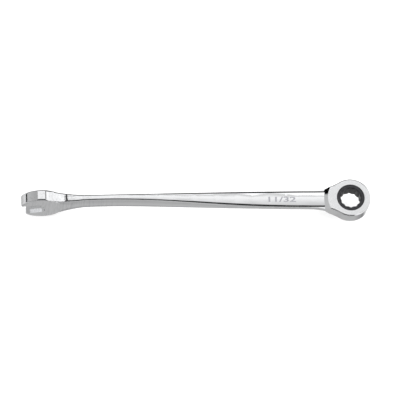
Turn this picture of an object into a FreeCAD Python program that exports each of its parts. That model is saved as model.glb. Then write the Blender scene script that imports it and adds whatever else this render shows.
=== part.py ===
import FreeCAD, Part
import math
import os

import Sketcher

# Ratcheting combination wrench, 11/32 in.
#
# Frame: the origin is the centre of the box end's hole at half the head's thickness. +Z is the
# axis of the box end, and the beam runs towards -X. The open end lies in the XZ plane, square to
# the box end, because the beam's broad side changes from level to upright along its length.

SIZES = (
    # Box end
    ("box_wall", 2.05, "wall of the box head outside the gear's teeth"),
    ("box_thickness", 7.0, "thickness of the box head"),
    ("box_edge", 0.65, "rounding of the head's outer edges"),
    ("raised_margin", 1.45, "how far the raised face runs over the neck, past the head's outside radius"),
    ("step_run", 2.2, "how far the sloped step runs from the raised face down to the neck's web"),
    # Drive
    ("drive_flats", 8.8, "across flats of the twelve-point hole"),
    ("drive_lead", 0.5, "depth of the lead-in at each end of the hole"),
    ("lead_margin", 0.15, "how far the lead-in's rim lies outside the hole's corners"),
    ("lead_slope", 1.6, "how far the lead-in narrows, over its depth"),
    # Gear
    ("hub_wall", 1.52, "wall of the gear's plain hubs outside the hole's corners"),
    ("hub_chamfer", 0.25, "chamfer on the hubs"),
    ("band_step", 0.9, "how far the toothed band stands out from the hubs"),
    ("tooth_depth", 0.3, "depth of the gear's teeth"),
    ("tooth_count", 72, "teeth on the gear"),
    ("tooth_overrun", 0.4, "how far the cutter of a tooth space runs past the teeth"),
    ("band_top", 2.0, "top of the gear's toothed band"),
    ("band_bottom", -1.6, "bottom of the gear's toothed band"),
    ("turn_gap", 0.08, "running clearance round and over the gear"),
    ("face_drop", 0.1, "how far the gear's ends lie below the head's faces"),
    # Snap ring
    ("ring_thickness", 0.7, "thickness of the snap ring"),
    ("ring_bite", 0.35, "how far the snap ring's groove goes into the head"),
    ("ring_gap", 0.05, "clearance round the snap ring"),
    ("ring_opening", 40.0, "angle of the snap ring's opening"),
    # Pawl and spring
    ("pawl_width", 5.0, "width of the pawl"),
    ("pocket_past", 0.84, "how far the pawl's pocket runs past the end of the raised face"),
    ("pawl_half_teeth", 2, "teeth on the pawl each side of its middle one"),
    ("pawl_gap", 0.06, "running clearance round the pawl"),
    ("pawl_mesh_gap", 0.04, "clearance between the pawl's and the gear's teeth"),
    ("pawl_tip_gap", 0.03, "further clearance at the tips of the pawl's teeth"),
    ("ridge_share", 0.8, "width of a pawl tooth's base, over that of a tooth space"),
    ("ridge_root", 0.2, "how far the pawl's teeth run into its block"),
    ("pawl_travel", 0.7, "how far the pawl can back out of mesh"),
    ("spring_radius", 0.7, "mean radius of the spring's coil"),
    ("spring_wire", 0.24, "diameter of the spring's wire"),
    ("spring_turns", 4.0, "turns of the spring"),
    ("spring_pitch", 0.62, "pitch of the spring's turns"),
    ("spring_gap", 0.1, "clearance round the spring in its bores"),
    ("spring_seat", 1.1, "depth of the spring's bore in the back of the pawl"),
    # Beam
    ("flare_reach", 19.0, "distance from the box centre to where the neck's flare ends"),
    ("flare_tuck", 0.3, "how far the flare's arcs run into the beam's sides"),
    ("flare_height", 2.8, "height of the flare's web"),
    ("root_tuck", 0.05, "how far inside the head's outside radius the beam starts"),
    ("wide_width", 8.8, "width of the beam by the box end"),
    ("wide_height", 3.9, "height of the beam by the box end"),
    ("cross_start", 46.0, "distance from the box centre to where the beam starts to change"),
    ("start_width", 8.0, "width of the beam there"),
    ("start_height", 4.4, "height of the beam there"),
    ("cross_middle", 72.0, "distance from the box centre to the middle of the change"),
    ("middle_width", 5.9, "width of the beam there"),
    ("middle_height", 7.0, "height of the beam there"),
    ("cross_end", 99.0, "distance from the box centre to the end of the change"),
    ("end_width", 3.8, "width of the beam there"),
    ("end_height", 9.2, "height of the beam there"),
    ("wide_corner", 1.3, "radius of the beam's corners by the box end"),
    ("middle_corner", 1.0, "radius of the beam's corners at the middle of the change"),
    ("beam_corner", 0.7, "radius of the beam's corners by the open end"),
    ("face_crown", 8.0, "radius of the crown across a face of the beam, over half the face's width"),
    # Open end
    ("open_reach", 147.7, "distance from the box centre to the centre of the open head"),
    ("open_drop", 3.6, "how far the open head's centre lies below the beam's axis"),
    ("open_radius", 10.3, "outside radius of the open head"),
    ("open_thickness", 5.6, "thickness of the open head"),
    ("open_edge", 0.9, "rounding of the open head's rim"),
    ("open_neck", 20.0, "distance from the open head's centre to where its flare ends"),
    ("neck_width", 3.4, "thickness of the beam there"),
    ("neck_height", 9.8, "height of the beam there"),
    ("neck_drop", 1.3, "how far the beam's middle has dropped there"),
    ("cheek_start", 4.0, "distance from the open head's centre to where its cheeks start to slope"),
    ("cheek_end", 14.5, "distance from the open head's centre to where the cheeks end"),
    ("cheek_thickness", 4.3, "thickness over the cheeks there"),
    ("root_width", 5.9, "thickness of the flare where it runs into the open head"),
    ("root_reach", 5.0, "distance from the open head's centre to there"),
    ("mouth_flats", 8.8, "across flats of the open end"),
    ("mouth_angle", 15.0, "angle of the open end to the beam"),
    ("throat_depth", 1.2, "how far the throat goes behind the open head's centre"),
    ("throat_corner", 2.4, "radius of the throat's corners"),
    ("tip_round", 0.6, "rounding of the jaws' inner tips"),
    ("jaw_reach", 8.7, "distance from the open head's centre to the jaws' blunt tips"),
    # Cutting
    ("cut_past", 1.0, "how far a cut runs past what it cuts"),
)

# Sizes that follow from the ones above.
DERIVED = (
    ("hole_corner", "drive_flats / 2 / cos(30)", "radius of the hole's corners"),
    ("hub_radius", "hole_corner + hub_wall", "radius of the gear's plain hubs"),
    ("tooth_tip_radius", "hub_radius + band_step", "radius over the gear's teeth"),
    ("box_radius", "tooth_tip_radius + box_wall", "outside radius of the box head"),
    ("raised_radius", "box_radius + raised_margin", "radius at which the raised face ends"),
    ("step_foot_radius", "raised_radius + step_run", "radius at which the sloped step ends"),
    ("beam_root", "box_radius - root_tuck", "distance from the box centre to the beam's first section"),
    ("pocket_back", "raised_radius + pocket_past", "distance from the box centre to the pocket's back"),
    ("pawl_front", "tooth_tip_radius + pawl_mesh_gap", "radius of the pawl's hollow front"),
    ("pawl_back", "pocket_back - pawl_travel", "distance from the box centre to the pawl's back"),
)

document = FreeCAD.newDocument("wrench")
sheet = document.addObject("Spreadsheet::Sheet", "sizes")
for row, (alias, value, note) in enumerate(SIZES + DERIVED, start=1):
    sheet.set(f"A{row}", alias)
    sheet.set(f"B{row}", str(value) if isinstance(value, (int, float)) else f"={value}")
    sheet.set(f"C{row}", note)
    sheet.setAlias(f"B{row}", alias)
document.recompute()


def size(expression):
    """The number that an expression on the sheet's values gives."""
    result = sheet.evalExpression(expression)
    return float(getattr(result, "Value", result))


# ---------------------------------------------------------------- sketch helpers


def new_body(label):
    """An empty body whose label names the piece."""
    body = document.addObject("PartDesign::Body", label)
    body.Label = label
    return body


def new_sketch(body, name, role, offset=("0", "0", "0")):
    """A sketch on one of the body's origin planes, moved by offset in the plane's own axes."""
    sketch = body.newObject("Sketcher::SketchObject", name)
    plane = next(item for item in body.Origin.OriginFeatures if item.Role == role)
    sketch.AttachmentSupport = [(plane, "")]
    sketch.MapMode = "FlatFace"
    for axis, expression in zip("xyz", offset):
        if expression != "0":
            sketch.setExpression(f".AttachmentOffset.Base.{axis}", expression)
    document.recompute()
    return sketch


def bind(sketch, kind, where, expression):
    """Add a dimension to the sketch and tie it to the sheet."""
    index = sketch.addConstraint(Sketcher.Constraint(kind, *where, size(expression)))
    sketch.setExpression(f"Constraints[{index}]", expression)


def pin(sketch, geometry, point, corner):
    """Tie a point of the sketch to its two coordinates."""
    bind(sketch, "DistanceX", (-1, 1, geometry, point), corner[0])
    bind(sketch, "DistanceY", (-1, 1, geometry, point), corner[1])


def spot(corner):
    """The vector of a corner given as two expressions."""
    return FreeCAD.Vector(size(corner[0]), size(corner[1]), 0)


def outline(sketch, steps):
    """A closed outline. Each step is the corner where an edge starts, and how the edge runs to the
    next corner: None for a straight edge, or an arc's centre, radius and turn, 1 for anticlockwise.
    """
    ends = []
    normal = FreeCAD.Vector(0, 0, 1)
    for index, (corner, curve) in enumerate(steps):
        start = spot(corner)
        finish = spot(steps[(index + 1) % len(steps)][0])
        if curve is None:
            ends.append((sketch.addGeometry(Part.LineSegment(start, finish), False), 1, 2))
            continue
        centre = spot(curve[0])
        whole = Part.Circle(centre, normal, size(curve[1]))
        angles = [math.atan2(point.y - centre.y, point.x - centre.x) for point in (start, finish)]
        anticlockwise = curve[2] > 0
        first, last = angles if anticlockwise else reversed(angles)
        edge = sketch.addGeometry(Part.ArcOfCircle(whole, first, last), False)
        ends.append((edge, 1, 2) if anticlockwise else (edge, 2, 1))
    for index, (corner, curve) in enumerate(steps):
        edge, start, finish = ends[index]
        following = ends[(index + 1) % len(ends)]
        sketch.addConstraint(Sketcher.Constraint("Coincident", edge, finish, following[0], following[1]))
        pin(sketch, edge, start, corner)
        if curve is not None:
            bind(sketch, "Radius", (edge,), curve[1])
    document.recompute()


def polygon(sketch, corners):
    """A closed outline of straight edges through the corners."""
    outline(sketch, [(corner, None) for corner in corners])


def circle(sketch, centre, radius):
    """A full circle."""
    normal = FreeCAD.Vector(0, 0, 1)
    index = sketch.addGeometry(Part.Circle(spot(centre), normal, size(radius)), False)
    pin(sketch, index, 3, centre)
    bind(sketch, "Radius", (index,), radius)
    document.recompute()


def rounded_bar(sketch, reach, half, rounding):
    """Half the section of a disc: out to reach, half its thickness each way, outer corners round."""
    inner = f"{reach} - {rounding}"
    shoulder = f"{half} - {rounding}"
    lower = f"0 - ({shoulder})"
    outline(sketch, (
        (("0", f"0 - {half}"), None),
        ((inner, f"0 - {half}"), ((inner, lower), rounding, 1)),
        ((reach, lower), None),
        ((reach, shoulder), ((inner, shoulder), rounding, 1)),
        ((inner, half), None),
        (("0", half), None),
    ))


def crossing(first, first_reach, second, second_reach):
    """The crossing of two circles that lies in the upper right quarter."""
    line = second - first
    distance = line.Length
    along = (first_reach ** 2 - second_reach ** 2 + distance ** 2) / (2 * distance)
    across = math.sqrt(first_reach ** 2 - along ** 2)
    line.normalize()
    side = FreeCAD.Vector(-line.y, line.x, 0)
    foot = first + line * along
    return max((foot + side * across, foot - side * across), key=lambda point: point.x + point.y)


def crowned_section(sketch, width, height, corner, crown):
    """A rectangle with crowned sides and round corners, centred on the sketch's origin."""
    top_crown = f"({width} / 2 * {crown})"
    side_crown = f"({height} / 2 * {crown})"
    radius = size(corner)
    top_radius = size(top_crown)
    side_radius = size(side_crown)
    top = FreeCAD.Vector(0, size(f"{height} / 2") - top_radius, 0)
    right = FreeCAD.Vector(size(f"{width} / 2") - side_radius, 0, 0)
    middle = crossing(top, top_radius - radius, right, side_radius - radius)
    rise = math.atan2(middle.y - top.y, middle.x - top.x)
    turn = math.atan2(middle.y - right.y, middle.x - right.x)
    normal = FreeCAD.Vector(0, 0, 1)

    def arc(centre, reach, start, end):
        """Add an arc and return its index."""
        return sketch.addGeometry(Part.ArcOfCircle(Part.Circle(centre, normal, reach), start, end), False)

    def corner_at(across, up):
        """The centre of a corner's arc in one quarter."""
        return FreeCAD.Vector(across * middle.x, up * middle.y, 0)

    half_turn = math.pi
    order = (
        arc(right, side_radius, -turn, turn),
        arc(corner_at(1, 1), radius, turn, rise),
        arc(top, top_radius, rise, half_turn - rise),
        arc(corner_at(-1, 1), radius, half_turn - rise, half_turn - turn),
        arc(-right, side_radius, half_turn - turn, half_turn + turn),
        arc(corner_at(-1, -1), radius, half_turn + turn, half_turn + rise),
        arc(-top, top_radius, half_turn + rise, 2 * half_turn - rise),
        arc(corner_at(1, -1), radius, 2 * half_turn - rise, 2 * half_turn - turn),
    )
    for index, edge in enumerate(order):
        following = order[(index + 1) % len(order)]
        sketch.addConstraint(Sketcher.Constraint("Tangent", edge, 2, following, 1))
    for index, radius_value in enumerate((side_crown, corner, top_crown, corner) * 2):
        bind(sketch, "Radius", (order[index],), radius_value)
    pin(sketch, order[0], 3, (f"{width} / 2 - {side_crown}", "0"))
    pin(sketch, order[2], 3, ("0", f"{height} / 2 - {top_crown}"))
    pin(sketch, order[4], 3, (f"{side_crown} - {width} / 2", "0"))
    pin(sketch, order[6], 3, ("0", f"{top_crown} - {height} / 2"))
    document.recompute()


# ---------------------------------------------------------------- feature helpers


def turned(body, kind, name, sketch, axis="V_Axis"):
    """A full Revolution or Groove of the sketch about one of its own axes."""
    feature = body.newObject(f"PartDesign::{kind}", name)
    feature.Profile = sketch
    feature.ReferenceAxis = (sketch, [axis])
    feature.Angle = 360
    document.recompute()
    return feature


def straight(body, kind, name, sketch, length):
    """A Pad or Pocket of the sketch, half its length each way."""
    feature = body.newObject(f"PartDesign::{kind}", name)
    feature.Profile = sketch
    feature.SideType = "Symmetric"
    feature.setExpression("Length", length)
    document.recompute()
    return feature


def rounded(body, name, radius, wanted):
    """Round the edges of the body's last feature that a test picks out."""
    base = body.Tip
    edges = [f"Edge{index}" for index, edge in enumerate(base.Shape.Edges, start=1) if wanted(edge)]
    feature = body.newObject("PartDesign::Fillet", name)
    feature.Base = (base, edges)
    feature.setExpression("Radius", radius)
    document.recompute()
    return feature


def lofted(body, name, sections):
    """A smooth loft through the sections."""
    feature = body.newObject("PartDesign::AdditiveLoft", name)
    feature.Profile = sections[0]
    feature.Sections = list(sections[1:])
    feature.Ruled = False
    document.recompute()
    return feature


def patterned(body, name, original, sketch, angle, count):
    """A polar pattern of a feature about the normal of its own sketch."""
    pattern = body.newObject("PartDesign::PolarPattern", name)
    pattern.Originals = [original]
    pattern.Axis = (sketch, ["N_Axis"])
    pattern.setExpression("Angle", angle)
    pattern.setExpression("Occurrences", count)
    body.Tip = pattern
    document.recompute()
    return pattern


# ---------------------------------------------------------------- wrench body

HALF_BOX = "sizes.box_thickness / 2"
POCKET_RADIUS = "(sizes.tooth_tip_radius + sizes.turn_gap)"
LIP_RADIUS = "(sizes.hub_radius + sizes.turn_gap)"
GROOVE_RADIUS = f"({POCKET_RADIUS} + sizes.ring_bite)"
BAND_CEILING = "(sizes.band_top + sizes.turn_gap)"
RING_TOP = "(sizes.band_bottom - sizes.turn_gap)"
RING_BOTTOM = f"({RING_TOP} - sizes.ring_thickness)"
SPRING_BORE = "(sizes.spring_radius + sizes.spring_wire / 2 + sizes.spring_gap)"
SPRING_LENGTH = "(sizes.spring_turns * sizes.spring_pitch + sizes.spring_wire)"
SPRING_START = "(sizes.pawl_back - sizes.spring_seat)"
SPRING_END = f"({SPRING_START} + {SPRING_LENGTH} + sizes.spring_gap)"
BAND_MIDDLE = "((sizes.band_top + sizes.band_bottom) / 2)"
BAND_HEIGHT = "(sizes.band_top - sizes.band_bottom)"


class Flare:
    """A hollow arc that runs from the beam's side into a round head and touches both."""

    def __init__(self, head_radius, reach, beam_size):
        self.head_radius = head_radius
        self.reach = reach
        self.half = f"({beam_size} / 2)"
        self.radius = (
            f"(({reach} ^ 2 + {self.half} ^ 2 - {head_radius} ^ 2) / 2 / ({head_radius} - {self.half}))"
        )

    def width(self, distance):
        """Width across both arcs at a distance from the head's centre."""
        rise = f"({self.radius} - sqrt({self.radius} ^ 2 - ({self.reach} - {distance}) ^ 2))"
        return f"(2 * ({self.half} + {rise}))"

    def touch(self):
        """Where the arc touches the head: its distance back along the beam, and out from the axis."""
        share = f"({self.head_radius} / ({self.head_radius} + {self.radius}))"
        return f"({self.reach} * {share})", f"(({self.half} + {self.radius}) * {share})"


BOX_FLARE = Flare("sizes.box_radius", "sizes.flare_reach", "(sizes.wide_width - 2 * sizes.flare_tuck)")
OPEN_FLARE = Flare("sizes.open_radius", "sizes.open_neck", "sizes.neck_height")


def beam_section(body, name, distance, width, height, corner, drop="0"):
    """One section of the beam, at a distance from the box centre towards the open end."""
    sketch = new_sketch(body, name, "YZ_Plane", ("0", f"0 - ({drop})", f"0 - ({distance})"))
    crowned_section(sketch, width, height, corner, "sizes.face_crown")
    return sketch


def wrench_body():
    """The one-piece forging: box head with its gear chamber, beam, and open end."""
    body = new_body("wrench_body")

    plan = new_sketch(body, "head_outline", "XY_Plane")
    outline(plan, head_steps())
    straight(body, "Pad", "box_head", plan, "sizes.box_thickness")
    rounded(body, "head_edges", "sizes.box_edge", is_rim_edge)
    for name, sign in (("upper_step", ""), ("lower_step", "0 - ")):
        step = new_sketch(body, f"{name}_profile", "XZ_Plane")
        polygon(step, step_corners(sign))
        turned(body, "Groove", name, step)

    beam = [
        beam_section(body, f"beam_section_{index}", *section)
        for index, section in enumerate(BEAM_SECTIONS, start=1)
    ]
    lofted(body, "beam", beam)
    flare = [
        open_section(body, f"open_section_{index}", place)
        for index, place in enumerate(OPEN_PLACES, start=1)
    ]
    lofted(body, "open_flare", flare)

    centre = ("0 - sizes.open_reach", "0", "0 - sizes.open_drop")
    open_disc = new_sketch(body, "open_disc", "XY_Plane", centre)
    rounded_bar(open_disc, "sizes.open_radius", "sizes.open_thickness / 2", "sizes.open_edge")
    turned(body, "Revolution", "open_head", open_disc)
    for name, sign in (("far_cheek", ""), ("near_cheek", "0 - ")):
        cheek = new_sketch(body, f"{name}_outline", "XY_Plane")
        polygon(cheek, cheek_corners(sign))
        straight(body, "Pocket", name, cheek, "sizes.open_radius * 4")
    cut_mouth(body)

    chamber = new_sketch(body, "gear_chamber_profile", "XZ_Plane")
    polygon(chamber, chamber_corners())
    turned(body, "Groove", "gear_chamber", chamber)
    cut_pawl_pocket(body)
    return body


def open_section(body, name, distance):
    """One section of the flare into the open head, at a distance from that head's centre."""
    share = f"((sizes.open_neck - {distance}) / (sizes.open_neck - sizes.root_reach))"
    width = f"(sizes.neck_width + (sizes.root_width - sizes.neck_width) * {share})"
    drop = f"(sizes.neck_drop + (sizes.open_drop - sizes.neck_drop) * {share})"
    place = f"(sizes.open_reach - {distance})"
    return beam_section(body, name, place, width, OPEN_FLARE.width(distance), "sizes.beam_corner", drop)


def head_steps():
    """Plan of the box head with its neck: round the head, and along the flare's two hollow arcs."""
    back, out = BOX_FLARE.touch()
    arc_out = f"({BOX_FLARE.half} + {BOX_FLARE.radius})"
    end = "0 - sizes.flare_reach"
    half = BOX_FLARE.half
    return (
        ((f"0 - {back}", f"0 - {out}"), (("0", "0"), "sizes.box_radius", 1)),
        ((f"0 - {back}", out), ((end, arc_out), BOX_FLARE.radius, -1)),
        ((end, half), None),
        ((end, f"0 - {half}"), ((end, f"0 - {arc_out}"), BOX_FLARE.radius, -1)),
    )


def is_rim_edge(edge):
    """Whether an edge is one of the arcs round the upper or the lower face of the box head."""
    level = math.isclose(abs(edge.BoundBox.Center.z), size(HALF_BOX), abs_tol=1e-4)
    return level and edge.BoundBox.ZLength < 1e-4 and isinstance(edge.Curve, Part.Circle)


def is_tip_edge(edge):
    """Whether an edge is one where a mouth's flat meets a blunt tip."""
    box = edge.BoundBox
    straight_across = max(box.XLength, box.ZLength) < 1e-4
    corners = [along_mouth("sizes.jaw_reach", f"{sign}sizes.mouth_flats / 2") for sign in ("", "0 - ")]
    return straight_across and any(
        math.hypot(
            box.Center.x - size(f"{across} - sizes.open_reach"),
            box.Center.z - size(f"{up} - sizes.open_drop"),
        ) < 1e-3
        for across, up in corners
    )


def cheek_corners(sign):
    """Plan of what the sloped cheek takes off one side of the open head's back."""
    start = "(sizes.cheek_start - sizes.open_reach)"
    end = "(sizes.cheek_end - sizes.open_reach)"
    beyond = f"{sign}(sizes.open_thickness)"
    return (
        (start, f"{sign}sizes.open_thickness / 2"),
        (end, f"{sign}sizes.cheek_thickness / 2"),
        (end, beyond),
        (start, beyond),
    )


def step_corners(sign):
    """Section of what the sloped step takes off the neck, above it or below it."""
    above = f"{sign}({HALF_BOX} + sizes.cut_past)"
    web = f"{sign}sizes.flare_height / 2"
    beyond = "(sizes.flare_reach + sizes.cut_past)"
    return (
        ("sizes.raised_radius", above),
        ("sizes.raised_radius", f"{sign}{HALF_BOX}"),
        ("sizes.step_foot_radius", web),
        (beyond, web),
        (beyond, above),
    )


def chamber_corners():
    """Section of the gear's chamber: a lip above, the wide pocket, and the snap ring's groove."""
    below = f"(0 - {HALF_BOX} - sizes.cut_past)"
    above = f"({HALF_BOX} + sizes.cut_past)"
    return (
        ("0", above),
        (LIP_RADIUS, above),
        (LIP_RADIUS, BAND_CEILING),
        (POCKET_RADIUS, BAND_CEILING),
        (POCKET_RADIUS, RING_TOP),
        (GROOVE_RADIUS, RING_TOP),
        (GROOVE_RADIUS, RING_BOTTOM),
        (POCKET_RADIUS, RING_BOTTOM),
        (POCKET_RADIUS, below),
        ("0", below),
    )


def along_mouth(along, across):
    """A point of the open head's plane, from along and across the mouth's own axis."""
    turn = "sizes.mouth_angle"
    return (
        f"0 - ({along}) * cos({turn}) + ({across}) * sin({turn})",
        f"0 - ({along}) * sin({turn}) - ({across}) * cos({turn})",
    )


def cut_mouth(body):
    """Cut the mouth with its rounded throat, and blunt the two jaws."""
    half = "sizes.mouth_flats / 2"
    ease = "sizes.throat_corner"
    far = "(sizes.open_radius + sizes.cut_past)"
    back = "(0 - sizes.throat_depth)"
    place = ("0 - sizes.open_reach", "0 - sizes.open_drop", "0")
    cutting = "sizes.open_thickness * 2"

    mouth = new_sketch(body, "mouth_outline", "XZ_Plane", place)
    upper_centre = along_mouth(f"{back} + {ease}", f"{ease} - {half}")
    lower_centre = along_mouth(f"{back} + {ease}", f"{half} - {ease}")
    outline(mouth, (
        (along_mouth(far, f"0 - {half}"), None),
        (along_mouth(f"{back} + {ease}", f"0 - {half}"), (upper_centre, ease, -1)),
        (along_mouth(back, f"{ease} - {half}"), None),
        (along_mouth(back, f"{half} - {ease}"), (lower_centre, ease, -1)),
        (along_mouth(f"{back} + {ease}", half), None),
        (along_mouth(far, half), None),
    ))
    straight(body, "Pocket", "mouth", mouth, cutting)

    tips = new_sketch(body, "tip_outline", "XZ_Plane", place)
    wide = far
    polygon(tips, (
        along_mouth("sizes.jaw_reach", f"0 - {wide}"),
        along_mouth("sizes.jaw_reach", wide),
        along_mouth(far, wide),
        along_mouth(far, f"0 - {wide}"),
    ))
    straight(body, "Pocket", "blunt_tips", tips, cutting)
    rounded(body, "tip_corners", "sizes.tip_round", is_tip_edge)


def cut_pawl_pocket(body):
    """Cut the pawl's pocket behind the gear, and the blind bore for its spring."""
    pocket = new_sketch(body, "pawl_pocket_outline", "XY_Plane", ("0", "0", BAND_MIDDLE))
    half = "(sizes.pawl_width / 2 + sizes.pawl_gap)"
    polygon(pocket, (
        ("0 - sizes.pocket_back", f"0 - {half}"),
        ("0 - sizes.hub_radius", f"0 - {half}"),
        ("0 - sizes.hub_radius", half),
        ("0 - sizes.pocket_back", half),
    ))
    straight(body, "Pocket", "pawl_pocket", pocket, f"{BAND_HEIGHT} + 2 * sizes.turn_gap")

    bore = new_sketch(body, "spring_bore_profile", "XZ_Plane", ("0", BAND_MIDDLE, "0"))
    polygon(bore, (
        (f"0 - {SPRING_END}", "0"),
        ("0 - sizes.hub_radius", "0"),
        ("0 - sizes.hub_radius", SPRING_BORE),
        (f"0 - {SPRING_END}", SPRING_BORE),
    ))
    turned(body, "Groove", "spring_bore", bore, "H_Axis")


BEAM_SECTIONS = (
    ("sizes.beam_root", "sizes.wide_width", "sizes.wide_height", "sizes.wide_corner"),
    ("sizes.flare_reach", "sizes.wide_width", "sizes.wide_height", "sizes.wide_corner"),
    ("sizes.cross_start", "sizes.start_width", "sizes.start_height", "sizes.wide_corner"),
    ("sizes.cross_middle", "sizes.middle_width", "sizes.middle_height", "sizes.middle_corner"),
    ("sizes.cross_end", "sizes.end_width", "sizes.end_height", "sizes.beam_corner"),
    (
        "sizes.open_reach - sizes.open_neck", "sizes.neck_width", "sizes.neck_height",
        "sizes.beam_corner", "sizes.neck_drop",
    ),
)
OPEN_PLACES = (
    "sizes.open_neck",
    "((2 * sizes.open_neck + sizes.root_reach) / 3)",
    "((sizes.open_neck + 2 * sizes.root_reach) / 3)",
    "sizes.root_reach",
)


# ---------------------------------------------------------------- gear


def hexagon_corners(start):
    """The corners of a hexagon of the drive's size, the first at an angle from the sketch's X axis."""
    angles = [start + 60 * step for step in range(6)]
    return tuple(
        (f"sizes.hole_corner * cos({angle})", f"sizes.hole_corner * sin({angle})") for angle in angles
    )


def ratchet_gear():
    """The gear: two plain hubs, a toothed band between them, and a twelve-point hole."""
    body = new_body("ratchet_gear")
    top = f"({HALF_BOX} - sizes.face_drop)"
    bottom = f"(sizes.face_drop - {HALF_BOX})"
    trim = "sizes.hub_chamfer"
    hub = "sizes.hub_radius"

    profile = new_sketch(body, "gear_profile", "XZ_Plane")
    polygon(profile, (
        ("0", bottom),
        (f"{hub} - {trim}", bottom),
        (hub, f"{bottom} + {trim}"),
        (hub, "sizes.band_bottom"),
        ("sizes.tooth_tip_radius", "sizes.band_bottom"),
        ("sizes.tooth_tip_radius", "sizes.band_top"),
        (hub, "sizes.band_top"),
        (hub, f"{top} - {trim}"),
        (f"{hub} - {trim}", top),
        ("0", top),
    ))
    turned(body, "Revolution", "gear_blank", profile)

    for index, start in enumerate((0, 30), start=1):
        hexagon = new_sketch(body, f"hexagon_{index}", "XY_Plane")
        polygon(hexagon, hexagon_corners(start))
        straight(body, "Pocket", f"drive_hole_{index}", hexagon, "sizes.box_thickness * 2")

    rim = "(sizes.hole_corner + sizes.lead_margin)"
    inner = f"({rim} - sizes.drive_lead * sizes.lead_slope)"
    for name, sign in (("upper_lead", ""), ("lower_lead", "0 - ")):
        lead = new_sketch(body, f"{name}_profile", "XZ_Plane")
        polygon(lead, (
            (inner, f"{sign}({top} - sizes.drive_lead)"),
            (rim, f"{sign}{top}"),
            (rim, f"{sign}({top} + sizes.cut_past)"),
            (inner, f"{sign}({top} + sizes.cut_past)"),
        ))
        turned(body, "Groove", name, lead)

    gap = new_sketch(body, "tooth_gap", "XY_Plane", ("0", "0", BAND_MIDDLE))
    polygon(gap, tooth_gap_corners("180 / sizes.tooth_count"))
    cut = straight(body, "Pocket", "tooth_space", gap, BAND_HEIGHT)
    patterned(body, "teeth", cut, gap, "360", "sizes.tooth_count")
    return body


def tooth_gap_corners(centre):
    """The space between two teeth at an angle in degrees: a V that ends at the teeth's roots."""
    outer = "(sizes.tooth_tip_radius + sizes.tooth_overrun)"
    root = "(sizes.tooth_tip_radius - sizes.tooth_depth)"
    spread = "(180 / sizes.tooth_count * (1 + sizes.tooth_overrun / sizes.tooth_depth))"
    return (
        (f"{root} * cos({centre})", f"{root} * sin({centre})"),
        (f"{outer} * cos({centre} - {spread})", f"{outer} * sin({centre} - {spread})"),
        (f"{outer} * cos({centre} + {spread})", f"{outer} * sin({centre} + {spread})"),
    )


# ---------------------------------------------------------------- small inner pieces


def pawl():
    """The pawl: a block with a hollow toothed front and a spring bore in its back."""
    body = new_body("pawl")
    outline = new_sketch(body, "pawl_outline", "XY_Plane", ("0", "0", BAND_MIDDLE))
    half = "sizes.pawl_width / 2"
    front = "(sizes.tooth_tip_radius - sizes.cut_past)"
    polygon(outline, (
        ("0 - sizes.pawl_back", f"0 - {half}"),
        (f"0 - {front}", f"0 - {half}"),
        (f"0 - {front}", half),
        ("0 - sizes.pawl_back", half),
    ))
    straight(body, "Pad", "pawl_block", outline, BAND_HEIGHT)

    hollow = new_sketch(body, "pawl_hollow", "XY_Plane", ("0", "0", BAND_MIDDLE))
    circle(hollow, ("0", "0"), "sizes.pawl_front")
    straight(body, "Pocket", "hollow_front", hollow, f"{BAND_HEIGHT} * 2")

    tooth = new_sketch(body, "pawl_tooth", "XY_Plane", ("0", "0", BAND_MIDDLE))
    pitch = "360 / sizes.tooth_count"
    polygon(tooth, pawl_tooth_corners(f"(180 + {pitch} / 2 - {pitch} * sizes.pawl_half_teeth)"))
    ridge = straight(body, "Pad", "pawl_ridge", tooth, BAND_HEIGHT)
    patterned(
        body, "pawl_teeth", ridge, tooth,
        f"{pitch} * 2 * sizes.pawl_half_teeth", "2 * sizes.pawl_half_teeth + 1",
    )

    seat = new_sketch(body, "pawl_seat_profile", "XZ_Plane", ("0", BAND_MIDDLE, "0"))
    polygon(seat, (
        ("0 - sizes.pawl_back - sizes.cut_past", "0"),
        (f"0 - {SPRING_START} + sizes.spring_gap", "0"),
        (f"0 - {SPRING_START} + sizes.spring_gap", SPRING_BORE),
        ("0 - sizes.pawl_back - sizes.cut_past", SPRING_BORE),
    ))
    turned(body, "Groove", "spring_seat", seat, "H_Axis")
    return body


def pawl_tooth_corners(centre):
    """One ridge of the pawl, at an angle in degrees: it fits a tooth space of the gear with a gap."""
    tip = "(sizes.pawl_front - sizes.tooth_depth + sizes.pawl_tip_gap)"
    shoulder = "sizes.pawl_front"
    base = "(sizes.pawl_front + sizes.ridge_root)"
    spread = "(180 / sizes.tooth_count * sizes.ridge_share)"
    return (
        (f"{tip} * cos({centre})", f"{tip} * sin({centre})"),
        (f"{shoulder} * cos({centre} - {spread})", f"{shoulder} * sin({centre} - {spread})"),
        (f"{base} * cos({centre} - {spread})", f"{base} * sin({centre} - {spread})"),
        (f"{base} * cos({centre} + {spread})", f"{base} * sin({centre} + {spread})"),
        (f"{shoulder} * cos({centre} + {spread})", f"{shoulder} * sin({centre} + {spread})"),
    )


def pawl_spring():
    """The spring: a round wire wound along the X axis behind the pawl."""
    body = new_body("pawl_spring")
    wire = new_sketch(body, "wire_section", "XZ_Plane", ("0", BAND_MIDDLE, "0"))
    start = f"0 - {SPRING_START} - sizes.spring_wire / 2"
    circle(wire, (start, "sizes.spring_radius"), "sizes.spring_wire / 2")
    coil = body.newObject("PartDesign::AdditiveHelix", "coil")
    coil.Profile = wire
    coil.ReferenceAxis = (wire, ["H_Axis"])
    coil.Mode = "pitch-turns-angle"
    coil.Reversed = True
    coil.setExpression("Pitch", "sizes.spring_pitch")
    coil.setExpression("Turns", "sizes.spring_turns")
    document.recompute()
    return body


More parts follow.
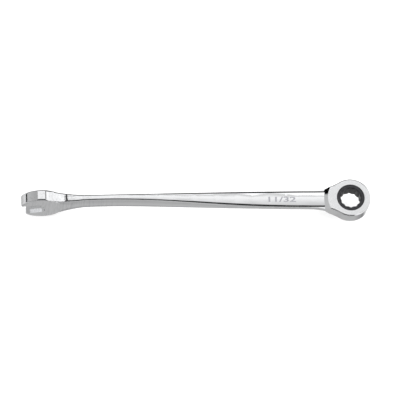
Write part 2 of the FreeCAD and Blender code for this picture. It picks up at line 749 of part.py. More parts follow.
def retaining_ring():
    """The snap ring: a C that sits in the head's groove under the gear's toothed band."""
    body = new_body("retaining_ring")
    profile = new_sketch(body, "ring_profile", "XZ_Plane")
    inner = "(sizes.hub_radius + sizes.turn_gap)"
    outer = f"({GROOVE_RADIUS} - sizes.ring_gap)"
    low = f"({RING_BOTTOM} + sizes.ring_gap)"
    high = f"({RING_TOP} - sizes.ring_gap)"
    polygon(profile, ((inner, low), (outer, low), (outer, high), (inner, high)))
    turned(body, "Revolution", "ring", profile)

    opening = new_sketch(body, "opening_outline", "XY_Plane")
    reach = "(sizes.box_radius * 2)"
    half = "(sizes.ring_opening / 2)"
    polygon(opening, (
        ("0", "0"),
        (f"{reach} * cos({half})", f"0 - {reach} * sin({half})"),
        (f"{reach} * cos({half})", f"{reach} * sin({half})"),
    ))
    straight(body, "Pocket", "opening", opening, "sizes.box_thickness * 2")
    return body


# ---------------------------------------------------------------- build, check and write

pieces = [wrench_body(), ratchet_gear(), pawl(), pawl_spring(), retaining_ring()]
document.recompute()

for item in document.Objects:
    if "Invalid" in item.State or "Error" in item.State:
        raise RuntimeError(f"{item.Name} did not build: {item.State}")
for piece in pieces:
    if piece.Shape.isNull() or not piece.Shape.isValid() or len(piece.Shape.Solids) != 1:
        raise RuntimeError(f"{piece.Label} is not one sound solid")

os.makedirs("parts", exist_ok=True)
for piece in pieces:
    piece.Shape.exportStep(f"parts/{piece.Label}.step")
    print(piece.Label, round(piece.Shape.Volume, 2), piece.Shape.BoundBox)
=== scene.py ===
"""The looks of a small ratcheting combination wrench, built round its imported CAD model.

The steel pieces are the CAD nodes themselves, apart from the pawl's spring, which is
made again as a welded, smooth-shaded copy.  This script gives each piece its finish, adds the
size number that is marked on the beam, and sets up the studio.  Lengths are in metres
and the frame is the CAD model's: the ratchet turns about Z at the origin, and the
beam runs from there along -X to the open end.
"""

import logging
import math
from dataclasses import dataclass
from enum import Enum

import bmesh
import bpy
from mathutils import Matrix, Vector
from mathutils.bvhtree import BVHTree


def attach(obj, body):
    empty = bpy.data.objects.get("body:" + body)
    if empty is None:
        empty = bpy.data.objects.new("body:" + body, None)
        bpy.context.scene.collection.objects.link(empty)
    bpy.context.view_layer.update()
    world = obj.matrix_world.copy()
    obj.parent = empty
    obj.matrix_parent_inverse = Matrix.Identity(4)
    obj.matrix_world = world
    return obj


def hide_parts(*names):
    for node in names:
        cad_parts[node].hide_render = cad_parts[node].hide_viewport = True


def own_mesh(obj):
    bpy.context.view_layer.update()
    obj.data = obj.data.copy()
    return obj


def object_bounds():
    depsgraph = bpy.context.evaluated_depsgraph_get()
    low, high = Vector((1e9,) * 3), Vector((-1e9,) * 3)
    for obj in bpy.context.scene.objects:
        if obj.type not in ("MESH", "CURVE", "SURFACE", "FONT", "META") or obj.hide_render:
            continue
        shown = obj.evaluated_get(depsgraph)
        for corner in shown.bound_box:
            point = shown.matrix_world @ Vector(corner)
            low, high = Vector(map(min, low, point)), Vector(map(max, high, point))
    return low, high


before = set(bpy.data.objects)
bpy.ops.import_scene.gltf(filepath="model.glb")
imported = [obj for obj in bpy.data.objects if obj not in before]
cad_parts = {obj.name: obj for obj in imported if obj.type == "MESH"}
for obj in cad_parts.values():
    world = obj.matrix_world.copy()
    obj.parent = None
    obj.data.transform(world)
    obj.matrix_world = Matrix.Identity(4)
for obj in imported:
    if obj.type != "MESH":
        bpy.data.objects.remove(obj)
CAD_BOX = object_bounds()

log = logging.getLogger("wrench")

MM = 0.001

Socket = bpy.types.NodeSocket
Pair = tuple[float, float]
Triple = tuple[float, float, float]


class Rgb(Enum):
    """The colours of the finishes and of the studio, linear."""

    CHROME_BRIGHT = (0.80, 0.805, 0.815)
    CHROME_HAZE = (0.68, 0.685, 0.695)
    OXIDE_BLACK = (0.030, 0.030, 0.033)
    OXIDE_WORN = (0.085, 0.085, 0.09)
    GROUND_STEEL = (0.50, 0.50, 0.51)
    GROUND_STEEL_DARK = (0.33, 0.33, 0.34)
    ETCH_GREY = (0.34, 0.34, 0.37)
    ETCH_PALE = (0.46, 0.46, 0.49)
    FLOOR = (0.95, 0.95, 0.95)
    WHITE = (1.0, 1.0, 1.0)

    @property
    def rgba(self) -> tuple[float, float, float, float]:
        """The colour with full opacity."""
        return (*self.value, 1.0)


@dataclass(frozen=True)
class Band:
    """One stop of a run of studio light: where it lies, and how bright it is there."""

    place: float
    light: float


class NodeGraph:
    """A material's nodes, with short ways to add and join them."""

    def __init__(self, name: str) -> None:
        """Starts an empty material.

        Args:
            name: the material's name.
        """
        self.material = bpy.data.materials.new(name)
        self.material.use_nodes = True
        self.tree = self.material.node_tree
        self.tree.nodes.clear()
        self.output = self.tree.nodes.new("ShaderNodeOutputMaterial")
        self.place = self.tree.nodes.new("ShaderNodeTexCoord").outputs["Object"]

    def add(self, kind: str, **settings: object) -> bpy.types.Node:
        """Adds a node.

        Args:
            kind: the node's type name.
            settings: properties of the node to set.

        Returns:
            The new node.
        """
        node = self.tree.nodes.new(kind)
        for key, value in settings.items():
            setattr(node, key, value)
        return node

    def join(self, source: Socket, target: Socket) -> None:
        """Links one socket to another."""
        self.tree.links.new(source, target)

    def split(self) -> tuple[Socket, Socket, Socket]:
        """Splits the place on the object.

        Returns:
            Its X, Y and Z sockets.
        """
        node = self.add("ShaderNodeSeparateXYZ")
        self.join(self.place, node.inputs["Vector"])
        return node.outputs["X"], node.outputs["Y"], node.outputs["Z"]

    def noise(self, scale: float, detail: float, stretch: Triple = (1.0, 1.0, 1.0)) -> Socket:
        """A noise pattern in object space.

        Args:
            scale: cells per metre.
            detail: octaves.
            stretch: factor on each axis before the noise.

        Returns:
            The noise's value socket.
        """
        mapping = self.add("ShaderNodeMapping")
        mapping.inputs["Scale"].default_value = stretch
        self.join(self.place, mapping.inputs["Vector"])
        noise = self.add("ShaderNodeTexNoise")
        noise.inputs["Scale"].default_value = scale
        noise.inputs["Detail"].default_value = detail
        self.join(mapping.outputs["Vector"], noise.inputs["Vector"])
        return noise.outputs["Fac"]

    def rings(self, scale: float, distortion: float, detail: float = 2.0) -> Socket:
        """Turned marks round the Z axis.

        Args:
            scale: marks per metre of radius, as the wave texture counts them.
            distortion: how far the marks wander.
            detail: octaves of the wander.

        Returns:
            The wave's value socket.
        """
        wave = self.add("ShaderNodeTexWave", wave_type="RINGS", rings_direction="Z")
        wave.inputs["Scale"].default_value = scale
        wave.inputs["Distortion"].default_value = distortion
        wave.inputs["Detail"].default_value = detail
        self.join(self.place, wave.inputs["Vector"])
        return wave.outputs["Fac"]

    def spread(self, value: Socket, result: Pair, over: Pair = (0.3, 0.7)) -> Socket:
        """Maps a pattern onto a range.

        Args:
            value: the pattern.
            result: the results at the two ends of the range.
            over: the pattern's values at the two ends, where most of a noise lies by default.

        Returns:
            The mapped value socket.
        """
        node = self.add("ShaderNodeMapRange")
        node.inputs["From Min"].default_value, node.inputs["From Max"].default_value = over
        node.inputs["To Min"].default_value, node.inputs["To Max"].default_value = result
        self.join(value, node.inputs["Value"])
        return node.outputs["Result"]

    def within(self, value: Socket, rise: Pair, fall: Pair) -> Socket:
        """A mask that is 1 between two soft edges.

        Args:
            value: the pattern.
            rise: where the mask goes from 0 to 1.
            fall: where it goes back to 0.

        Returns:
            The mask's socket.
        """
        return self.product(self.spread(value, (0.0, 1.0), rise), self.spread(value, (1.0, 0.0), fall))

    def wear(self, result: Pair, edges: Pair) -> Socket:
        """How worn the place is: more where the surface is sharply convex.

        Args:
            result: the wear at the two ends of the range.
            edges: the sharpness at the two ends.

        Returns:
            The wear's socket.
        """
        sharpness = self.add("ShaderNodeNewGeometry").outputs["Pointiness"]
        return self.spread(sharpness, result, edges)

    def blend(self, factor: Socket, first: Rgb, second: Rgb) -> Socket:
        """A colour between two, by a factor.

        Args:
            factor: 0 for the first colour and 1 for the second.
            first: the colour at 0.
            second: the colour at 1.

        Returns:
            The mixed colour socket.
        """
        mix = self.add("ShaderNodeMix", data_type="RGBA")
        mix.inputs["A"].default_value = first.rgba
        mix.inputs["B"].default_value = second.rgba
        self.join(factor, mix.inputs["Factor"])
        return mix.outputs["Result"]

    def math(self, operation: str, *values: Socket | float) -> Socket:
        """The result of a sum on patterns.

        Args:
            operation: the Math node's operation.
            values: sockets or plain numbers.

        Returns:
            The result's socket.
        """
        node = self.add("ShaderNodeMath", operation=operation)
        for socket, value in zip(node.inputs, values):
            if isinstance(value, Socket):
                self.join(value, socket)
            else:
                socket.default_value = value
        return node.outputs["Value"]

    def product(self, first: Socket, second: Socket | float) -> Socket:
        """One pattern times another, or times a plain number."""
        return self.math("MULTIPLY", first, second)

    def rest(self, share: Socket) -> Socket:
        """What is left of 1 when a share is taken away."""
        return self.math("SUBTRACT", 1.0, share)

    def ramp(self, value: Socket, bands: tuple[Band, ...], half: float) -> Socket:
        """A brightness that runs through a list of bands.

        Args:
            value: where on the run, 0 to 1.
            bands: the run's stops, from -half to half.
            half: half the run's length.

        Returns:
            The brightness socket.
        """
        ramp = self.add("ShaderNodeValToRGB")
        stops = ramp.color_ramp.elements
        while len(stops) < len(bands):
            stops.new(1.0)
        for stop, band in zip(stops, bands):
            stop.position = (band.place + half) / (2 * half)
            stop.color = (band.light, band.light, band.light, 1.0)
        self.join(value, ramp.inputs["Fac"])
        return ramp.outputs["Color"]

    def bump(
        self, height: Socket, strength: float, distance: float, under: Socket | None = None
    ) -> Socket:
        """A relief from a height pattern.

        Args:
            height: the pattern.
            strength: share of the relief that shows.
            distance: the relief's depth in metres.
            under: the normal of a coarser relief that this one lies on.

        Returns:
            The normal socket.
        """
        bump = self.add("ShaderNodeBump")
        if under is not None:
            self.join(under, bump.inputs["Normal"])
        bump.inputs["Strength"].default_value = strength
        bump.inputs["Distance"].default_value = distance
        self.join(height, bump.inputs["Height"])
        return bump.outputs["Normal"]

    def metal(
        self, metallic: float, color: Socket, roughness: Socket, normal: Socket
    ) -> bpy.types.Material:
        """Finishes the material with a metal shader.

        Args:
            metallic: how metallic the shader is.
            color: the base colour.
            roughness: the roughness.
            normal: the relief's normal.

        Returns:
            The finished material.
        """
        shader = self.add("ShaderNodeBsdfPrincipled")
        shader.inputs["Metallic"].default_value = metallic
        self.join(color, shader.inputs["Base Color"])
        self.join(roughness, shader.inputs["Roughness"])
        self.join(normal, shader.inputs["Normal"])
        self.join(shader.outputs["BSDF"], self.output.inputs["Surface"])
        return self.material


@dataclass(frozen=True)
class ChromePlate:
    """Polished chrome plate, with haze, polishing lines, belt marks, a satin box face and worn edges."""

    name: str = "polished_chrome_plate"
    metallic: float = 1.0
    haze_scale: float = 60.0
    haze_detail: float = 4.0
    haze_dullness: Pair = (0.0, 0.35)
    haze_roughness: Pair = (0.03, 0.075)
    wear_edges: Pair = (0.53, 0.62)
    wear_dullness: Pair = (0.0, 0.30)
    wear_roughness: float = 0.1
    line_scale: float = 2500.0
    line_detail: float = 3.0
    line_stretch: Triple = (0.04, 1.0, 1.0)
    line_strength: float = 0.5
    line_depth: float = 0.4e-6
    belt_scale: float = 1100.0
    belt_detail: float = 3.0
    belt_stretch: Triple = (1.0, 1.0, 0.10)
    belt_contrast: Pair = (0.4, 0.7)
    belt_depth: float = 3e-6
    belt_along: Pair = (-135.0 * MM, -95.0 * MM)
    face_levels: Pair = (3.45 * MM, 3.47 * MM)
    face_roughness: float = 0.22
    face_along: Pair = (-16.0 * MM, -15.0 * MM)

    def build(self) -> bpy.types.Material:
        """Makes the finish.

        Returns:
            The finish as a material.
        """
        graph = NodeGraph(self.name)
        along, _, level = graph.split()
        haze = graph.noise(self.haze_scale, self.haze_detail)
        wear = graph.wear(self.wear_dullness, self.wear_edges)
        streaks = graph.noise(self.belt_scale, self.belt_detail, self.belt_stretch)
        belted = graph.spread(along, (1.0, 0.0), self.belt_along)
        marks = graph.product(graph.spread(streaks, (0.0, 1.0), self.belt_contrast), belted)
        hazed = graph.math("MAXIMUM", graph.spread(haze, self.haze_dullness), marks)
        dull = graph.math("MAXIMUM", hazed, wear)
        face = graph.spread(graph.math("ABSOLUTE", level), (0.0, self.face_roughness), self.face_levels)
        satin = graph.product(face, graph.spread(along, (0.0, 1.0), self.face_along))
        polish = graph.math("MAXIMUM", graph.spread(haze, self.haze_roughness), satin)
        lines = graph.noise(self.line_scale, self.line_detail, self.line_stretch)
        lined = graph.bump(lines, self.line_strength, self.line_depth)
        return graph.metal(
            self.metallic,
            color=graph.blend(dull, Rgb.CHROME_BRIGHT, Rgb.CHROME_HAZE),
            roughness=graph.math("ADD", polish, graph.product(wear, self.wear_roughness)),
            normal=graph.bump(graph.product(streaks, belted), 1.0, self.belt_depth, lined),
        )


@dataclass(frozen=True)
class BlackOxide:
    """Black oxide on turned steel: satin, with fine turned rings and paler worn edges."""

    name: str = "satin_black_oxide"
    metallic: float = 0.85
    mottle_scale: float = 900.0
    mottle_detail: float = 5.0
    mottle_roughness: Pair = (0.30, 0.46)
    wear_edges: Pair = (0.52, 0.62)
    ring_scale: float = 1400.0
    ring_wander: float = 0.4
    ring_strength: float = 0.35
    ring_depth: float = 3e-6

    def build(self) -> bpy.types.Material:
        """Makes the finish.

        Returns:
            The finish as a material.
        """
        graph = NodeGraph(self.name)
        mottle = graph.noise(self.mottle_scale, self.mottle_detail)
        wear = graph.wear((0.0, 1.0), self.wear_edges)
        rings = graph.rings(self.ring_scale, self.ring_wander)
        return graph.metal(
            self.metallic,
            color=graph.blend(wear, Rgb.OXIDE_BLACK, Rgb.OXIDE_WORN),
            roughness=graph.spread(mottle, self.mottle_roughness),
            normal=graph.bump(rings, self.ring_strength, self.ring_depth),
        )


@dataclass(frozen=True)
class GrainedMetal:
    """A metal whose colour, roughness and relief all follow one fine grain."""

    name: str
    dark: Rgb
    pale: Rgb
    metallic: float
    grain_scale: float
    grain_stretch: Triple
    grain_roughness: Pair
    grain_strength: float
    grain_depth: float
    grain_detail: float = 4.0

    def build(self) -> bpy.types.Material:
        """Makes the finish.

        Returns:
            The finish as a material.
        """
        graph = NodeGraph(self.name)
        grain = graph.noise(self.grain_scale, self.grain_detail, self.grain_stretch)
        return graph.metal(
            self.metallic,
            color=graph.blend(grain, self.dark, self.pale),
            roughness=graph.spread(grain, self.grain_roughness),
            normal=graph.bump(grain, self.grain_strength, self.grain_depth),
        )


# Bare ground steel, finely scratched across the beam.
GROUND_STEEL = GrainedMetal(
    name="bare_ground_steel",
    dark=Rgb.GROUND_STEEL_DARK,
    pale=Rgb.GROUND_STEEL,
    metallic=1.0,
    grain_scale=4000.0,
    grain_stretch=(1.0, 0.08, 1.0),
    grain_roughness=(0.22, 0.38),
    grain_strength=0.4,
    grain_depth=2e-6,
)

# The frosted grey of an acid-etched mark on chrome.
ETCHING = GrainedMetal(
    name="etched_mark",
    dark=Rgb.ETCH_GREY,
    pale=Rgb.ETCH_PALE,
    metallic=0.6,
    grain_scale=9000.0,
    grain_stretch=(1.0, 1.0, 1.0),
    grain_roughness=(0.45, 0.65),
    grain_strength=0.3,
    grain_depth=3e-6,
)


def give_finish(node: str, material: bpy.types.Material) -> None:
    """Gives a CAD node its finish.

    Args:
        node: the CAD node's name.
        material: the finish.
    """
    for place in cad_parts[node].material_slots:
        place.material = material
    log.info("%s finished in %s", node, material.name)


def add_piece(name: str, data: bpy.types.Mesh) -> bpy.types.Object:
    """Puts a mesh into the scene.

    Args:
        name: the new object's name.
        data: the mesh.

    Returns:
        The new object, at the origin.
    """
    piece = bpy.data.objects.new(name, data)
    bpy.context.scene.collection.objects.link(piece)
    return piece


@dataclass(frozen=True)
class WrenchBody:
    """The chrome forging: box head, beam and open end, with its size number."""

    finish: ChromePlate = ChromePlate()
    etching: GrainedMetal = ETCHING
    size_text: str = "11/32"
    text_steps: int = 6
    text_merge: float = 1e-5
    mark_centre: float = -32.8 * MM
    mark_across: float = -0.3 * MM
    mark_length: float = 13.2 * MM
    mark_height: float = 2.65 * MM
    mark_weight: float = 0.018
    mark_lift: float = 0.012 * MM
    mark_depth: float = 0.03 * MM
    mark_grain: float = 0.12 * MM
    drop_height: float = 1.0 * MM

    def build(self) -> bpy.types.Object:
        """Makes the size number and lays it on the beam's upper face.

        Returns:
            The size number's object.
        """
        flat = self._writing()
        mark = bmesh.new()
        mark.from_mesh(flat)
        self._fit(mark)
        self._cut(mark, Vector((1, 0, 0)), self.mark_centre, self.mark_length)
        self._cut(mark, Vector((0, 1, 0)), self.mark_across, self.mark_height)
        self._lay(mark)
        bmesh.ops.recalc_face_normals(mark, faces=mark.faces)
        self._order(mark)
        mark.to_mesh(flat)
        mark.free()
        piece = add_piece("size_mark", flat)
        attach(piece, "wrench")
        log.info("size_mark laid on the beam with %d faces", len(flat.polygons))
        return piece

    def _writing(self) -> bpy.types.Mesh:
        """Writes the size number.

        Returns:
            The writing as a flat mesh.
        """
        curve = bpy.data.curves.new("size_mark", "FONT")
        curve.body = self.size_text
        curve.align_x = "CENTER"
        curve.align_y = "CENTER"
        curve.resolution_u = self.text_steps
        curve.offset = self.mark_weight
        writing = bpy.data.objects.new("size_mark_text", curve)
        bpy.context.scene.collection.objects.link(writing)
        bpy.context.view_layer.update()
        flat = bpy.data.meshes.new_from_object(writing)
        bpy.data.objects.remove(writing)
        return flat

    def _fit(self, mark: bmesh.types.BMesh) -> None:
        """Scales flat writing to its length and height and centres it on the beam.

        Args:
            mark: the writing.
        """
        bmesh.ops.remove_doubles(mark, verts=mark.verts, dist=self.text_merge)
        xs = [vertex.co.x for vertex in mark.verts]
        ys = [vertex.co.y for vertex in mark.verts]
        length, height = max(xs) - min(xs), max(ys) - min(ys)
        middle = Vector(((max(xs) + min(xs)) / 2, (max(ys) + min(ys)) / 2, 0))
        grow = Vector((self.mark_length / length, self.mark_height / height, 1))
        bmesh.ops.translate(mark, verts=mark.verts, vec=-middle)
        bmesh.ops.scale(mark, verts=mark.verts, vec=grow)
        bmesh.ops.translate(mark, verts=mark.verts, vec=(self.mark_centre, self.mark_across, 0))

    def _cut(self, mark: bmesh.types.BMesh, normal: Vector, centre: float, length: float) -> None:
        """Cuts flat writing into narrow strips, so that it can follow the crowned face.

        Args:
            mark: the writing.
            normal: the direction the strips follow one another in.
            centre: the writing's middle along that direction.
            length: the writing's length along it.
        """
        for step in range(round(length / self.mark_grain)):
            place = normal * (centre - length / 2 + step * self.mark_grain)
            geometry = [*mark.verts, *mark.edges, *mark.faces]
            bmesh.ops.bisect_plane(mark, geom=geometry, plane_co=place, plane_no=normal)

    def _lay(self, mark: bmesh.types.BMesh) -> None:
        """Drops flat writing onto the body's upper face and gives it a depth.

        Args:
            mark: the writing.
        """
        body = bmesh.new()
        body.from_mesh(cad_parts["wrench_body"].data)
        surface = BVHTree.FromBMesh(body)
        body.free()
        high = CAD_BOX[1].z + self.drop_height
        for vertex in mark.verts:
            hit, *_ = surface.ray_cast(Vector((vertex.co.x, vertex.co.y, high)), Vector((0, 0, -1)))
            vertex.co.z = hit.z + self.mark_lift
        sides = bmesh.ops.extrude_face_region(mark, geom=mark.faces[:])
        lower = [part for part in sides["geom"] if isinstance(part, bmesh.types.BMVert)]
        bmesh.ops.translate(mark, verts=lower, vec=(0, 0, -self.mark_depth))

    def _order(self, mark: bmesh.types.BMesh) -> None:
        """Sorts the writing's parts by where they lie, so that each run gives the same mesh.

        Args:
            mark: the writing.
        """
        by_place = sorted(mark.verts, key=lambda vertex: vertex.co[:])
        by_edge_ends = sorted(mark.edges, key=lambda edge: sorted(end.co[:] for end in edge.verts))
        by_corners = sorted(mark.faces, key=lambda face: sorted(end.co[:] for end in face.verts))
        for ordered in (by_place, by_edge_ends, by_corners):
            for index, part in enumerate(ordered):
                part.index = index
        for parts in (mark.verts, mark.edges, mark.faces):
            parts.sort()

    def dress(self, mark: bpy.types.Object) -> None:
        """Gives the forging and its mark their finishes.

        Args:
            mark: the size number's object.
        """
        give_finish("wrench_body", self.finish.build())
        mark.data.materials.clear()
        mark.data.materials.append(self.etching.build())


@dataclass(frozen=True)
class RatchetDrive:
    """The ratchet in the box end: gear, retaining ring, pawl and the pawl's spring."""

    oxide: BlackOxide = BlackOxide()
    steel: GrainedMetal = GROUND_STEEL
    merge_gap: float = 1e-7
    crease: float = math.radians(35.0)
    pawl_travel: float = 0.6 * MM

    def build(self) -> bpy.types.Object:
        """Makes the spring again as a welded, smooth-shaded piece, and hides the CAD node's spring.

        Returns:
            The spring's object.
        """
        spring = bmesh.new()
        spring.from_mesh(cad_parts["pawl_spring"].data)
        bmesh.ops.remove_doubles(spring, verts=spring.verts, dist=self.merge_gap)
        bmesh.ops.recalc_face_normals(spring, faces=spring.faces)
        for face in spring.faces:
            face.smooth = True
        for edge in spring.edges:
            edge.smooth = edge.calc_face_angle(math.pi) < self.crease
        data = bpy.data.meshes.new("coil_spring")
        spring.to_mesh(data)
        spring.free()
        piece = add_piece("coil_spring", data)
        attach(piece, "wrench")
        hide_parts("pawl_spring")
        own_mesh(piece)
        log.info("coil_spring made with %d faces", len(data.polygons))
        return piece

    def dress(self, spring: bpy.types.Object) -> None:
        """Gives each piece its finish.

        Args:
            spring: the spring's object.
        """
        oxide = self.oxide.build()
        steel = self.steel.build()
        give_finish("ratchet_gear", oxide)
        give_finish("retaining_ring", oxide)
        give_finish("pawl", steel)
        spring.data.materials.append(steel)


@dataclass(frozen=True)
class ReflectionDome:
    """A dome of soft panels, grey boards and black flags that only the polished steel sees.

    Tilts are degrees from overhead, positive to the far side.  Reaches are shares of
    the dome's radius along X, positive to the box end's side.  Pairs say where something
    turns on or off, in shares of the radius, or in radians for the board's low and high tilts.
    """

    tilts: tuple[Band, ...] = (
        Band(-180.0, 0.26),
        Band(-172.0, 0.36),
        Band(-160.0, 0.56),
        Band(-148.0, 0.46),
        Band(-132.0, 0.40),
        Band(-112.0, 0.80),
        Band(-96.0, 0.62),
        Band(-93.0, 0.02),
        Band(-86.0, 0.02),
        Band(-83.0, 0.55),
        Band(-66.0, 0.50),
        Band(-62.0, 0.02),
        Band(-19.0, 0.02),
        Band(-15.0, 0.30),
        Band(8.0, 0.52),
        Band(14.0, 0.80),
        Band(22.0, 1.14),
        Band(24.8, 1.22),
        Band(26.4, 0.55),
        Band(28.2, 1.45),
        Band(43.0, 1.45),
        Band(46.0, 0.02),
        Band(98.0, 0.02),
        Band(101.0, 0.62),
        Band(114.0, 0.80),
        Band(134.0, 0.42),
        Band(146.0, 0.42),
        Band(152.0, 1.20),
        Band(166.0, 1.10),
        Band(180.0, 0.26),
    )
    reaches: tuple[Band, ...] = (
        Band(-1.0, 0.0),
        Band(-0.42, 0.0),
        Band(-0.38, 1.0),
        Band(0.22, 1.0),
        Band(0.24, 0.03),
        Band(0.275, 0.03),
        Band(0.30, 1.0),
        Band(0.34, 0.0),
        Band(1.0, 0.0),
    )
    sides: tuple[Band, ...] = (
        Band(-1.0, 0.62),
        Band(-0.60, 0.50),
        Band(-0.42, 0.50),
        Band(-0.38, 0.0),
        Band(0.32, 0.0),
        Band(0.34, 1.30),
        Band(0.70, 1.15),
        Band(1.0, 0.90),
    )
    floor_light: Pair = (0.36, 0.85)
    floor_heights: Pair = (-0.85, -0.30)
    floor_edge: Pair = (-0.06, -0.03)
    sky_edge: Pair = (0.08, 0.10)
    under_edge: Pair = (-0.02, 0.0)
    beside_edge: Pair = (0.5, 0.7)
    flag_behind: Pair = (0.58, 0.64)
    flag_start: Pair = (0.28, 0.32)
    flag_end: Pair = (0.62, 0.70)
    board_dark: float = 0.55
    board_start: Pair = (0.0, 0.05)
    board_end: Pair = (0.12, 0.17)
    board_low: Pair = (math.radians(90.0), math.radians(94.0))
    board_high: Pair = (math.radians(132.0), math.radians(138.0))
    half_turn: float = 180.0
    fineness: int = 5
    radius: float = 2.0

    def build(self) -> bpy.types.Object:
        """Makes the dome.

        Returns:
            The dome's object, seen only in reflections.
        """
        mesh = bmesh.new()
        bmesh.ops.create_icosphere(mesh, subdivisions=self.fineness, radius=self.radius)
        bmesh.ops.reverse_faces(mesh, faces=mesh.faces[:])
        data = bpy.data.meshes.new("reflection_dome")
        mesh.to_mesh(data)
        mesh.free()
        data.materials.append(self._paint())
        dome = add_piece("reflection_dome", data)
        reflections_only(dome)
        return dome

    def _paint(self) -> bpy.types.Material:
        """Paints the dome: bands by tilt in the middle, and walls and floor to either side.

        Returns:
            The glowing material.
        """
        graph = NodeGraph("dome_glow")
        across, away, height = graph.split()
        tilt = graph.math("ARCTAN2", away, height)
        reach = graph.spread(across, (0.0, 1.0), self._scaled((-1.0, 1.0)))
        turn = graph.spread(tilt, (0.0, 1.0), (-math.pi, math.pi))
        panels = graph.ramp(turn, self.tilts, self.half_turn)
        window = graph.ramp(reach, self.reaches, 1.0)
        walls = graph.ramp(reach, self.sides, 1.0)
        beside = graph.spread(graph.math("ABSOLUTE", across), (0.0, 1.0), self._scaled(self.beside_edge))
        below = graph.spread(height, (1.0, 0.0), self._scaled(self.under_edge))
        middle = graph.math("MAXIMUM", window, graph.product(below, graph.rest(beside)))
        middle = graph.product(middle, graph.rest(self._board(graph, across, tilt)))
        sky = graph.spread(height, (0.0, 1.0), self._scaled(self.sky_edge))
        sky = graph.product(sky, graph.rest(self._flag(graph, across, away)))
        ground = graph.product(
            graph.spread(height, self.floor_light, self._scaled(self.floor_heights)),
            graph.spread(height, (1.0, 0.0), self._scaled(self.floor_edge)),
        )
        outer = graph.math("ADD", graph.product(walls, sky), graph.product(ground, beside))
        glow = graph.add("ShaderNodeEmission")
        graph.join(graph.math("ADD", graph.product(panels, middle), outer), glow.inputs["Strength"])
        graph.join(glow.outputs["Emission"], graph.output.inputs["Surface"])
        return graph.material

    def _scaled(self, shares: Pair) -> Pair:
        """Two shares of the dome's radius, in metres."""
        return shares[0] * self.radius, shares[1] * self.radius

    def _flag(self, graph: NodeGraph, across: Socket, away: Socket) -> Socket:
        """The black flag high on the far side, towards the box end.

        Args:
            graph: the dome's nodes.
            across: X of the place.
            away: Y of the place.

        Returns:
            The flag's mask.
        """
        behind = graph.spread(away, (0.0, 1.0), self._scaled(self.flag_behind))
        span = graph.within(across, self._scaled(self.flag_start), self._scaled(self.flag_end))
        return graph.product(behind, span)

    def _board(self, graph: NodeGraph, across: Socket, tilt: Socket) -> Socket:
        """The grey board low on the far side, which darkens the beam's far edge.

        Args:
            graph: the dome's nodes.
            across: X of the place.
            tilt: the place's angle from overhead.

        Returns:
            The board's mask.
        """
        span = graph.within(across, self._scaled(self.board_start), self._scaled(self.board_end))
        board = graph.product(graph.within(tilt, self.board_low, self.board_high), span)
        return graph.product(board, self.board_dark)


def reflections_only(card: bpy.types.Object) -> None:
    """Marks a studio card as staging that only glossy surfaces see.

    Args:
        card: the card.
    """
    card.visible_camera = False
    card.visible_diffuse = False
    card.visible_shadow = False
    card.visible_transmission = False
    card.visible_volume_scatter = False


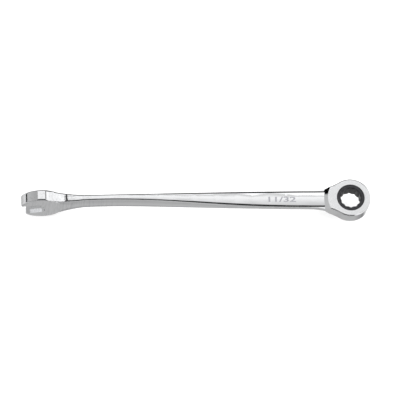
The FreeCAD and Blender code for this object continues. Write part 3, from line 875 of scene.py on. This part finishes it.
@dataclass(frozen=True)
class Studio:
    """A plain pale floor, soft light, the reflection dome and the camera."""

    azimuth: float = -12.7
    elevation: float = 67.6
    lens: float = 500.0
    view_width: float = 191.4 * MM
    aim_left: float = 71.8 * MM
    aim_up: float = 0.1 * MM
    sight: float = 20.0
    floor_size: float = 6.0
    floor_roughness: float = 0.9
    floor_gloss: float = 0.1
    softbox_size: float = 2.5
    softbox_height: float = 2.0
    softbox_power: float = 12.0
    world_light: float = 1.5

    def build(self) -> None:
        """Sets up everything round the wrench."""
        self._floor()
        ReflectionDome().build()
        self._softbox()
        self._world()
        self._camera()

    def _floor(self) -> None:
        """A pale matt floor that the open end rests on."""
        mesh = bmesh.new()
        bmesh.ops.create_grid(mesh, x_segments=1, y_segments=1, size=self.floor_size / 2)
        bmesh.ops.translate(mesh, verts=mesh.verts, vec=(0, 0, CAD_BOX[0].z))
        data = bpy.data.meshes.new("floor")
        mesh.to_mesh(data)
        mesh.free()
        graph = NodeGraph("pale_floor")
        shader = graph.add("ShaderNodeBsdfPrincipled")
        shader.inputs["Base Color"].default_value = Rgb.FLOOR.rgba
        shader.inputs["Roughness"].default_value = self.floor_roughness
        shader.inputs["Specular IOR Level"].default_value = self.floor_gloss
        graph.join(shader.outputs["BSDF"], graph.output.inputs["Surface"])
        data.materials.append(graph.material)
        floor = add_piece("floor", data)
        floor.visible_glossy = False

    def _softbox(self) -> None:
        """A wide soft light overhead that keeps the floor pale."""
        data = bpy.data.lights.new("softbox", "AREA")
        data.shape = "DISK"
        data.size = self.softbox_size
        data.energy = self.softbox_power
        light = bpy.data.objects.new("softbox", data)
        light.location = (0, 0, self.softbox_height)
        light.visible_glossy = False
        light.visible_camera = False
        bpy.context.scene.collection.objects.link(light)

    def _world(self) -> None:
        """A plain white surround."""
        world = bpy.data.worlds.new("white_surround")
        bpy.context.scene.world = world
        world.use_nodes = True
        sky = world.node_tree.nodes["Background"]
        sky.inputs["Color"].default_value = Rgb.WHITE.rgba
        sky.inputs["Strength"].default_value = self.world_light
        bpy.context.scene.view_settings.view_transform = "Standard"

    def _camera(self) -> None:
        """A long lens above the near side, turned a little towards the open end."""
        around, above = math.radians(self.azimuth), math.radians(self.elevation)
        level = math.cos(above)
        back = Vector((math.sin(around) * level, -math.cos(around) * level, math.sin(above)))
        right = (Vector((1, 0, 0)) - back.x * back).normalized()
        up = back.cross(right)
        data = bpy.data.cameras.new("camera")
        data.lens = self.lens
        distance = self.view_width * data.lens / data.sensor_width
        aim = up * self.aim_up - right * self.aim_left
        camera = bpy.data.objects.new("camera", data)
        bpy.context.scene.collection.objects.link(camera)
        turn = Matrix((right, up, back)).transposed().to_4x4()
        camera.matrix_world = Matrix.Translation(aim + back * distance) @ turn
        data.clip_end = self.sight
        bpy.context.scene.camera = camera


def main() -> None:
    """Builds and dresses the wrench, then sets up the studio."""
    logging.basicConfig(level=logging.INFO, format="%(name)s: %(message)s")
    body = WrenchBody()
    body.dress(body.build())
    drive = RatchetDrive()
    drive.dress(drive.build())
    Studio().build()


if __name__ == "__main__":
    main()
